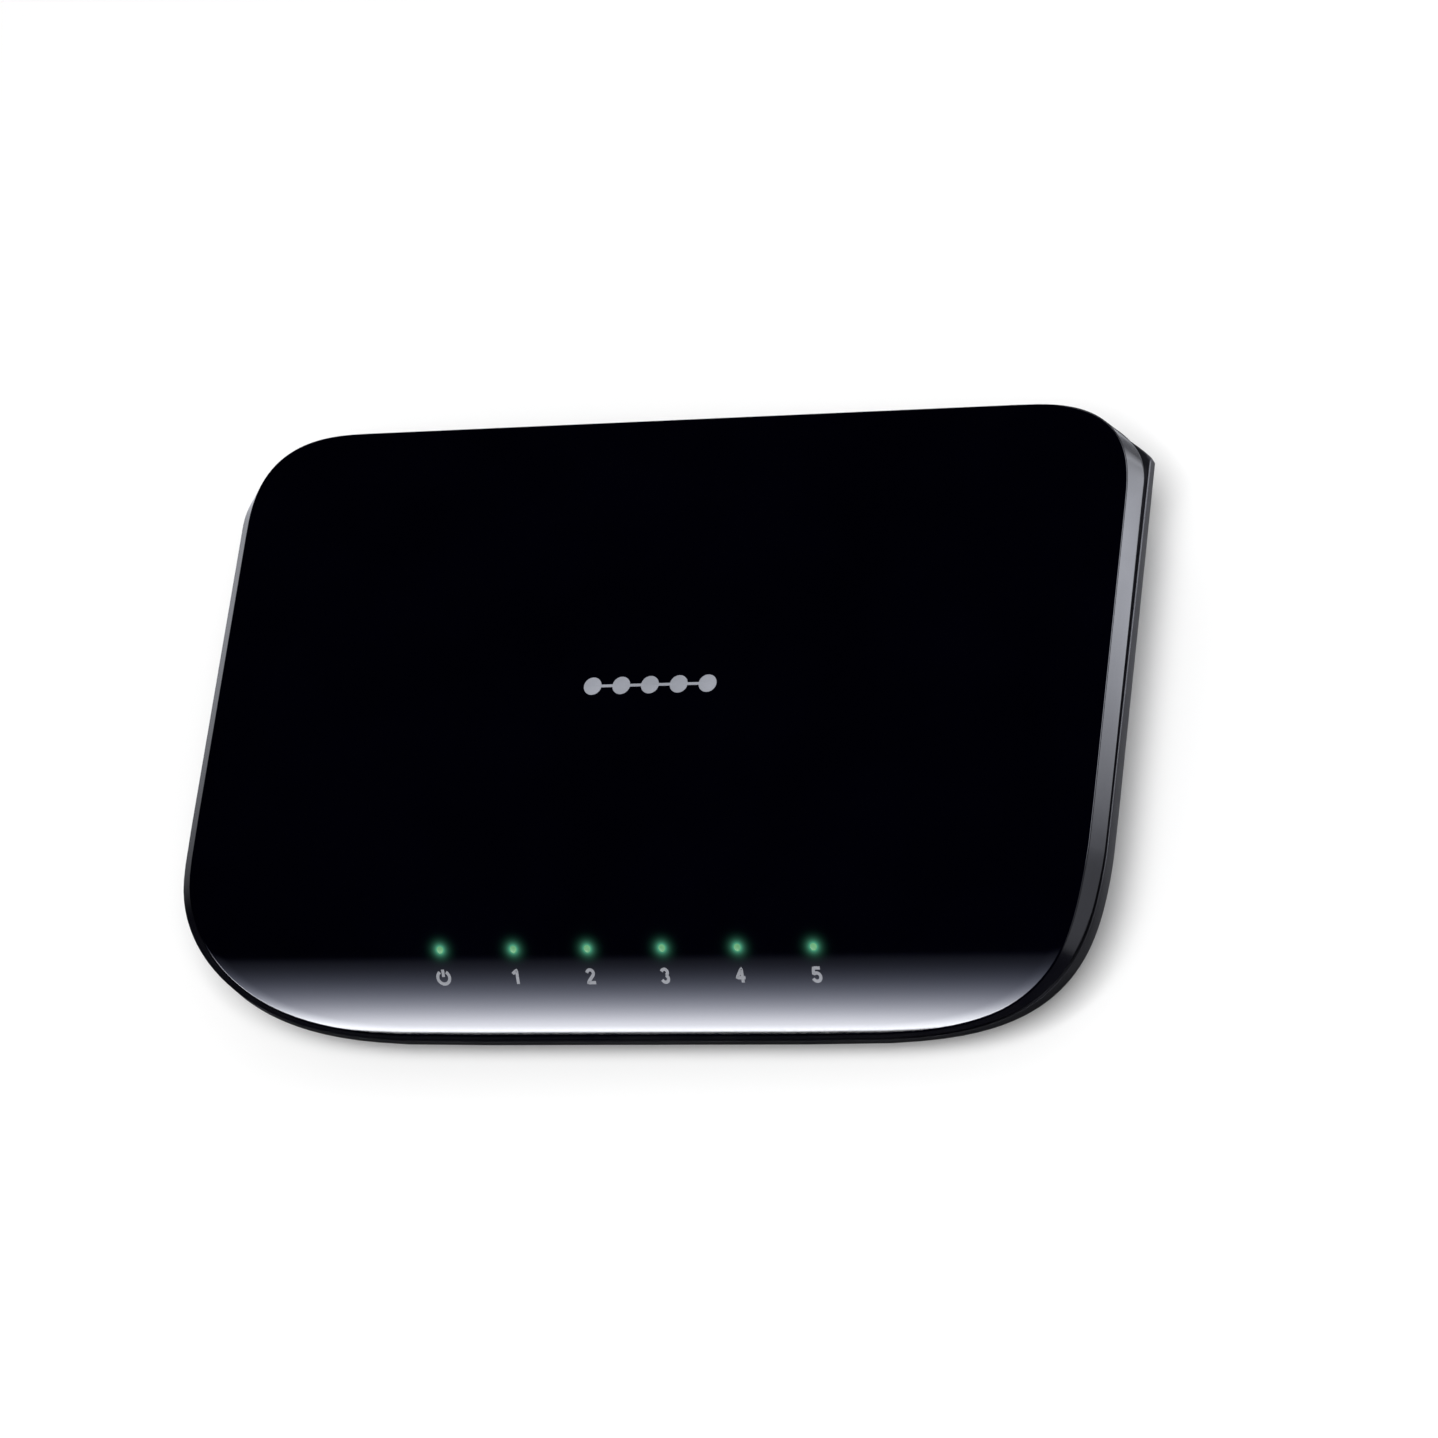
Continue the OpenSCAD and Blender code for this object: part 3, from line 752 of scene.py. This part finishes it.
def make_label(mats):
    low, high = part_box("rating_label")
    bm = bmesh.new()
    x, y, z = Vector((1, 0, 0)), Vector((0, 1, 0)), Vector((0, 0, 1))
    corners = []
    radius = 2 * MM
    ends = ((high.x, high.y, 0), (low.x, high.y, 90), (low.x, low.y, 180), (high.x, low.y, 270))
    for cx, cy, start in ends:
        mid = Vector((cx - math.copysign(radius, cx - (low.x + high.x) / 2),
                      cy - math.copysign(radius, cy - (low.y + high.y) / 2), 0))
        for i in range(7):
            a = math.radians(start + 15 * i)
            corners.append(mid + x * radius * math.cos(a) + y * radius * math.sin(a))
    loops = [[p + z * level for p in corners] for level in (low.z, high.z)]
    middle = (low + high) / 2
    loft(bm, loops, first_tip=(middle.x, middle.y, low.z), last_tip=(middle.x, middle.y, high.z))
    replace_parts(piece("blank_label", bm, mats["label"]), "rating_label")


# ---- Sockets and inlet ----

def make_sockets(mats):
    refined("socket_block", "jack_block", mats["socket"], edge=0.15, angle=40)
    for p in range(1, PORTS + 1):
        refined(f"socket_{p}_wires", f"port_{p}_contacts", mats["gold"], edge=0.06, angle=40)


def make_inlet(mats):
    refined("inlet_moulding", "power_inlet_body", mats["socket"], edge=0.2, angle=40)
    refined("inlet_leaf_spring", "power_inlet_leaf", mats["tin"], edge=0.05, angle=40)
    low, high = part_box("power_inlet_pin")
    r = (high.x - low.x) / 2
    middle = (low + high) / 2
    length = high.y - low.y
    profile = [(r, 0), (r, length - 0.5 * MM), (r - 0.12 * MM, length - 0.2 * MM), (r - 0.4 * MM, length)]
    bm = lathe(bmesh.new(), profile, (middle.x, low.y, middle.z), "Y", 40)
    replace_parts(piece("inlet_centre_pin", bm, mats["tin"]), "power_inlet_pin")


# ---- Board and its parts ----

def make_board(mats):
    refined("board", "circuit_board", mats["board"], edge=0.1)
    pads = bmesh.new()
    for p in range(1, PORTS + 1):
        low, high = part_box(f"line_transformer_{p}")
        for i in range(10):
            x = low.x + (i + 0.5) * (high.x - low.x) / 10
            for y in (low.y - 0.9 * MM, high.y + 0.9 * MM):
                dome(pads, (x, y, BOARD_TOP), 0.42 * MM, 0.25 * MM)
    also(piece("solder_joints", pads, mats["tin"]), frame["nodes"]["circuit_board"])


def dome(bm, centre, radius, height):
    """A low solder mound."""
    angles = [math.radians(d) for d in (0, 25, 50, 75)]
    profile = [(radius * math.cos(a), height * math.sin(a)) for a in angles]
    lathe(bm, profile, centre, steps=12)


def make_transformers(mats):
    """Encapsulated line transformers with a row of gull-wing leads on each long side."""
    for p in range(1, PORTS + 1):
        node = f"line_transformer_{p}"
        body = refined(f"transformer_{p}", node, mats["epoxy"], edge=0.5)
        low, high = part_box(node)
        leads = bmesh.new()
        for i in range(10):
            x = low.x + (i + 0.5) * (high.x - low.x) / 10
            for side, edge in ((-1, low.y), (1, high.y)):
                gull_wing(leads, x, edge, side)
        also(piece(f"transformer_{p}_leads", leads, mats["tin"]), body)


def gull_wing(bm, x, edge, side, width=0.4 * MM, thick=0.15 * MM):
    """A lead that leaves the body, steps down and lies on its pad."""
    path = [(0.0, 1.5), (0.35, 1.5), (0.55, 1.3), (0.7, 0.35), (0.85, 0.1), (1.3, 0.1)]
    loops = []
    for k, (out, up) in enumerate(path):
        y = edge + side * out * MM
        z = BOARD_TOP + up * MM
        tall = 0 < k < 4
        dy = side * thick / 2 if tall else 0
        dz = thick / 2 if not tall or k in (1, 4) else 0
        loops.append([Vector((x + sx * width / 2, y + s * dy, z + s * dz))
                      for sx, s in ((-1, -1), (1, -1), (1, 1), (-1, 1))])
    ends = [sum(loop, Vector()) / 4 for loop in (loops[0], loops[-1])]
    loft(bm, loops, first_tip=ends[0], last_tip=ends[1])


def make_chips(mats):
    refined("switch_chip_body", "switch_chip", mats["epoxy"], edge=0.12)
    refined("switch_chip_leads", "chip_leads", mats["tin"], edge=0.03)
    refined("thermal_pad_sheet", "thermal_pad", mats["pad"], edge=0.08)
    refined("finned_heat_sink", "heat_sink", mats["anodised"], edge=0.12)
    refined("memory_chip_body", "memory_chip", mats["epoxy"], edge=0.12)
    refined("regulator_body", "regulator_chip", mats["epoxy"], edge=0.12)
    refined("crystal_can", "crystal", mats["tin"], edge=0.3)
    refined("inductor_core", "power_inductor", mats["ferrite"], edge=0.25)
    low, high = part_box("power_inductor")
    middle = (low + high) / 2
    coil = bmesh.new()
    for turn in range(5):
        z = low.z + (1.35 + 0.38 * turn) * MM
        loops = []
        for k in range(8):
            r = (3.2 + 0.2 * math.cos(k * math.pi / 4)) * MM
            h = 0.19 * math.sin(k * math.pi / 4) * MM
            loops.append([Vector((middle.x + r * math.cos(b), middle.y + r * math.sin(b), z + h))
                          for b in (2 * math.pi * i / 40 for i in range(40))])
        loft(coil, loops, cyclic_section=True)
    also(piece("inductor_winding", coil, mats["gold"]), frame["nodes"]["power_inductor"])


def make_capacitors(mats):
    for number in (1, 2):
        node = f"filter_capacitor_{number}"
        low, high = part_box(node)
        middle = (low + high) / 2
        r, h = (high.x - low.x) / 2, high.z - low.z
        profile = [(r - 0.3 * MM, 0.0), (r, 0.3 * MM)]
        groove = ((0.0, 1.0), (0.1, 1.15), (0.4, 1.5), (0.4, 1.7), (0.1, 2.05), (0.0, 2.3))
        profile += [(r - deep * MM, up * MM) for deep, up in groove]
        shoulder_steps = ((0.0, 0.5), (0.15, 0.15), (0.5, 0.02))
        profile += [(r - deep * MM, h - down * MM) for deep, down in shoulder_steps]
        bm = lathe(bmesh.new(), profile, (middle.x, middle.y, low.z), steps=56)
        body = piece(f"can_{number}", bm, mats["sleeve"])
        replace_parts(body, node)
        top = lathe(bmesh.new(), [(r - 0.9 * MM, -0.2 * MM), (r - 0.9 * MM, -0.03 * MM), (r - 1.0 * MM, 0)],
                    (middle.x, middle.y, high.z), steps=48)
        disc = piece(f"can_{number}_top", top, mats["tin"])
        cuts = bmesh.new()
        for low_x, low_y in ((0.12, 2.4), (2.4, 0.12)):
            box(cuts, (middle.x - low_x * MM, middle.y - low_y * MM, high.z - 0.1 * MM),
                (middle.x + low_x * MM, middle.y + low_y * MM, high.z + 1 * MM))
        carve(disc, cuts)
        also(disc, body)
    refined("small_capacitors", "chip_capacitors", mats["ceramic"], edge=0.08)
    refined("small_resistors", "chip_resistors", mats["resistor"], edge=0.05)


# ---- Lights, marks and badge ----

def make_lights(mats):
    refined("led_set", "status_leds", mats["led"], edge=0.08)
    refined("light_pipe", "light_guide", mats["guide"], edge=0)
    low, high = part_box("status_leds")
    y = (low.y + high.y) / 2
    tips = bmesh.new()
    slope = math.atan2(2 * FRONT_DROP * forward(y), TOP_HALF[1] - BEND_START)
    for number in range(LIGHTS):
        lens(tips, Vector((light_x(number), y, top_z(y))), 0.58 * MM, slope)
    also(piece("light_tips", tips, mats["tip"]), frame["nodes"]["light_guide"])


def lens(bm, centre, radius, slope):
    """A shallow dome lying on the falling top."""
    turn = Matrix.Rotation(slope, 3, "X")
    loops = []
    for reach, rise in ((1.0, -0.2), (1.0, 0.0), (0.92, 0.03), (0.7, 0.06), (0.35, 0.08)):
        r = radius * reach
        loops.append([centre + turn @ Vector((r * math.cos(a), r * math.sin(a), rise * MM))
                      for a in (2 * math.pi * i / 32 for i in range(32))])
    loft(bm, loops, first_tip=centre + turn @ Vector((0, 0, -0.2 * MM)),
         last_tip=centre + turn @ Vector((0, 0, 0.085 * MM)))


def arc(cx, cy, r, start, end, steps=14):
    """Points along an arc, in degrees."""
    return [(cx + r * math.cos(math.radians(start + (end - start) * i / steps)),
             cy + r * math.sin(math.radians(start + (end - start) * i / steps))) for i in range(steps + 1)]


def strokes(mark):
    """Strokes of the power symbol (0) or a digit, on a grid about 1.4 wide and 2 high about its middle."""
    return {
        0: [arc(0, -0.08, 0.98, 128, 412, 40), [(0, 0.15), (0, 1.05)]],
        1: [[(-0.5, 0.5), (0.1, 1.0), (0.1, -1.0)]],
        2: [arc(0, 0.45, 0.52, 160, -35, 18) + [(-0.55, -1.0), (0.6, -1.0)]],
        3: [arc(-0.05, 0.5, 0.48, 150, -80, 18) + arc(-0.05, -0.48, 0.52, 80, -150, 18)],
        4: [[(0.25, -1.0), (0.25, 1.0), (-0.6, -0.4), (0.6, -0.4)]],
        5: [[(0.5, 1.0), (-0.4, 1.0), (-0.48, 0.1)] + arc(-0.02, -0.38, 0.62, 130, -150, 22)],
    }[mark]


def ribbon(bm, points, width, place):
    """A flat stroke of even width along points, laid on a surface by place(x, y)."""
    left, right = [], []
    for k, p in enumerate(points):
        a = Vector(points[max(0, k - 1)])
        b = Vector(points[min(len(points) - 1, k + 1)])
        along = (b - a).normalized()
        side = Vector((-along.y, along.x)) * width / 2
        q = Vector(p)
        if k == 0:
            q -= along * width / 4
        if k == len(points) - 1:
            q += along * width / 4
        left.append(bm.verts.new(place(*(q + side))))
        right.append(bm.verts.new(place(*(q - side))))
    for k in range(len(points) - 1):
        bm.faces.new((left[k], left[k + 1], right[k + 1], right[k]))


def make_marks(mats):
    """Printed symbols that lie on the falling top in front of the lights."""
    low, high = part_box("front_marks")
    middle_y = (low.y + high.y) / 2
    size, tall = 1.1 * MM, 0.78
    bm = bmesh.new()
    for mark in range(LIGHTS):
        x0 = light_x(mark)

        def place(x, y, x0=x0):
            row = middle_y + y * size * tall
            return (x0 + x * size, row, top_z(row) + 0.03 * MM)

        for line in strokes(mark):
            ribbon(bm, dense(line), 0.5, place)
    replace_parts(piece("printed_marks", bm, mats["ink"]), "front_marks")


def dense(points, step=0.15):
    """Adds points along long straight stretches, so that a stroke follows the surface."""
    out = [points[0]]
    for a, b in zip(points, points[1:]):
        pieces = max(1, int(math.dist(a, b) / step))
        out += [(a[0] + (b[0] - a[0]) * i / pieces, a[1] + (b[1] - a[1]) * i / pieces)
                for i in range(1, pieces + 1)]
    return out


def make_badge(mats):
    refined("badge", "top_badge", mats["badge"], edge=0.04, angle=60)


# ---- Stage ----

def direction(azimuth, elevation):
    a, e = math.radians(azimuth), math.radians(elevation)
    return Vector((math.sin(a) * math.cos(e), -math.cos(a) * math.cos(e), math.sin(e)))


def make_camera():
    data = bpy.data.cameras.new("camera")
    data.lens, data.sensor_width = CAMERA_LENS, 36.0
    data.clip_start, data.clip_end = 0.01, 20.0
    cam = bpy.data.objects.new("camera", data)
    bpy.context.scene.collection.objects.link(cam)
    back = direction(CAMERA_AZIMUTH, CAMERA_ELEVATION)
    cam.rotation_mode = "QUATERNION"
    roll = Matrix.Rotation(math.radians(CAMERA_ROLL), 4, back)
    cam.rotation_quaternion = roll.to_quaternion() @ (-back).to_track_quat("-Z", "Y")
    cam.location = Vector((CAMERA_AIM[0], CAMERA_AIM[1], TOP_Z)) + back * CAMERA_DISTANCE
    bpy.context.scene.camera = cam


def lamp(name, azimuth, elevation, distance, size, power):
    """A square soft light that points at the object and leaves no glare of its own."""
    data = bpy.data.lights.new(name, "AREA")
    data.shape, data.size, data.energy = "SQUARE", size, power
    obj = bpy.data.objects.new(name, data)
    bpy.context.scene.collection.objects.link(obj)
    out = direction(azimuth, elevation)
    obj.location = out * distance
    obj.rotation_euler = (-out).to_track_quat("-Z", "Y").to_euler()
    obj.visible_glossy = False


def flat_sheet(name, corners, material):
    """A single flat face between four corners."""
    bm = bmesh.new()
    bm.faces.new([bm.verts.new(c) for c in corners])
    mesh = bpy.data.meshes.new(name)
    bm.to_mesh(mesh)
    bm.free()
    mesh.materials.append(material)
    obj = bpy.data.objects.new(name, mesh)
    bpy.context.scene.collection.objects.link(obj)
    return obj


def card(name, corners, brightness, tint_height=(-0.5, 1.6)):
    """A glowing studio card that only glossy surfaces see, bluer higher up; brightness builds it from the
    card's x, y, z."""
    n = Nodes(name)
    n.tree.nodes.remove(n.shader)
    glow = n.add("ShaderNodeEmission")
    split = n.add("ShaderNodeSeparateXYZ")
    n.link(n.place, split.inputs[0])
    tint = n.mix(smooth(n, split.outputs[2], *tint_height, 0.0, 1.0), LOW_TINT, HIGH_TINT)
    n.link(tint, glow.inputs["Color"])
    n.link(brightness(n, split.outputs), glow.inputs["Strength"])
    n.link(glow.outputs["Emission"], n.tree.nodes["Material Output"].inputs["Surface"])
    obj = flat_sheet(name, corners, n.mat)
    obj.visible_camera = obj.visible_diffuse = obj.visible_shadow = obj.visible_transmission = False


def smooth(n, value, start, end, low, high):
    """Goes gently from low to high as a value goes from start to end."""
    node = n.add("ShaderNodeMapRange")
    node.interpolation_type = "SMOOTHSTEP"
    for key, number in zip(("From Min", "From Max", "To Min", "To Max"), (start, end, low, high)):
        node.inputs[key].default_value = number
    n.link(value, node.inputs["Value"])
    return node.outputs["Result"]


def arithmetic(n, operation, a, b):
    """One sum; each side is a socket or a number."""
    node = n.add("ShaderNodeMath")
    node.operation = operation
    for socket, value in zip(node.inputs, (a, b)):
        if isinstance(value, (int, float)):
            socket.default_value = value
        else:
            n.link(value, socket)
    return node.outputs[0]


def front_brightness(n, xyz):
    """Brightest at the bottom and falling off exponentially with height."""
    height = arithmetic(n, "MULTIPLY", xyz[2], -FRONT_CARD["fall"])
    fall = arithmetic(n, "MULTIPLY", arithmetic(n, "EXPONENT", height, 0.0), FRONT_CARD["peak"])
    fall = arithmetic(n, "MULTIPLY", fall, smooth(n, xyz[2], 0.05, 0.24, 0.84, 1.0))
    return arithmetic(n, "MULTIPLY", fall, smooth(n, xyz[2], 0.95, 1.15, 1.0, 0.0))


def right_brightness(n, xyz):
    """Bright towards the back, dim towards the front and the floor."""
    back = smooth(n, xyz[1], 0.015, 0.112, 0.85, 8.0)
    back = arithmetic(n, "MULTIPLY", back, smooth(n, xyz[2], 0.0, 0.08, 0.6, 1.0))
    far = arithmetic(n, "MULTIPLY", back, smooth(n, xyz[1], 0.095, 0.125, 1.0, 0.75))
    return arithmetic(n, "MULTIPLY", far, smooth(n, xyz[1], 0.15, 0.42, 1.0, 0.2))


def lying(x, y):
    """Corners of a sheet just above the floor, between two values of x and of y."""
    return [(x[0], y[0], SHEET_HEIGHT), (x[1], y[0], SHEET_HEIGHT),
            (x[1], y[1], SHEET_HEIGHT), (x[0], y[1], SHEET_HEIGHT)]


def facing_front(x, y, z):
    """Corners of an upright card across the y axis."""
    return [(x[0], y, z[0]), (x[1], y, z[0]), (x[1], y, z[1]), (x[0], y, z[1])]


def facing_side(x, y, z):
    """Corners of an upright card across the x axis."""
    return [(x, y[0], z[0]), (x, y[1], z[0]), (x, y[1], z[1]), (x, y[0], z[1])]


def make_cards():
    """The front card gives the cover its bright band; the others light the trim and the rim."""
    front, right, rear = FRONT_CARD, RIGHT_CARD, REAR_CARD
    card("front_card", facing_front(front["x"], front["y"], front["z"]), front_brightness, (0.0, 0.8))
    card("right_card", facing_side(right["x"], right["y"], right["z"]), right_brightness)
    card("left_sheet", lying((-0.3, -0.095), (-0.06, 0.3)),
         lambda n, xyz: smooth(n, xyz[1], -0.04, 0.06, 0.0, 1.05))
    card("right_sheet", lying((0.084, 0.14), (-0.07, 0.1)),
         lambda n, xyz: smooth(n, xyz[1], -0.06, 0.0, 0.15, 0.42))
    card("rear_sheet", lying(rear["x"], rear["y"]),
         lambda n, xyz: smooth(n, xyz[0], 0.1, 0.19, 1.1, 4.2))
    card("rear_card", facing_front(rear["x"], rear["y"][1], rear["z"]),
         lambda n, xyz: smooth(n, xyz[2], *rear["z"], 1.4, 2.4))


def make_stage():
    """A white floor, a soft key light, a weak light from behind, an even dome and the cards."""
    n = Nodes("floor_white")
    n.set(Specular_IOR_Level=0.0)
    n.colour(n.noise(3), (0.86, 0.86, 0.86), (0.88, 0.88, 0.88))
    n.roughness(n.noise(20), 0.85, 0.95)
    corners = [(x * FLOOR_HALF, y * FLOOR_HALF, 0) for x, y in ((-1, -1), (1, -1), (1, 1), (-1, 1))]
    floor = flat_sheet("floor", corners, n.mat)
    floor.visible_glossy = False
    world = bpy.data.worlds.new("studio")
    bpy.context.scene.world = world
    world.use_nodes = True
    world.node_tree.nodes["Background"].inputs["Color"].default_value = (1, 1, 1, 1)
    world.node_tree.nodes["Background"].inputs["Strength"].default_value = WORLD_STRENGTH
    world.cycles_visibility.glossy = False
    lamp("key_light", **KEY_LIGHT)
    lamp("back_light", **BACK_LIGHT)
    make_cards()
    view = bpy.context.scene.view_settings
    view.view_transform, view.look = "Standard", "None"


def main():
    make_camera()
    mats = make_materials()
    make_stage()
    make_cover(mats)
    make_trim(mats)
    make_lower_case(mats)
    make_feet(mats)
    make_screws(mats)
    make_label(mats)
    make_sockets(mats)
    make_inlet(mats)
    make_board(mats)
    make_transformers(mats)
    make_chips(mats)
    make_capacitors(mats)
    make_lights(mats)
    make_marks(mats)
    make_badge(mats)


main()
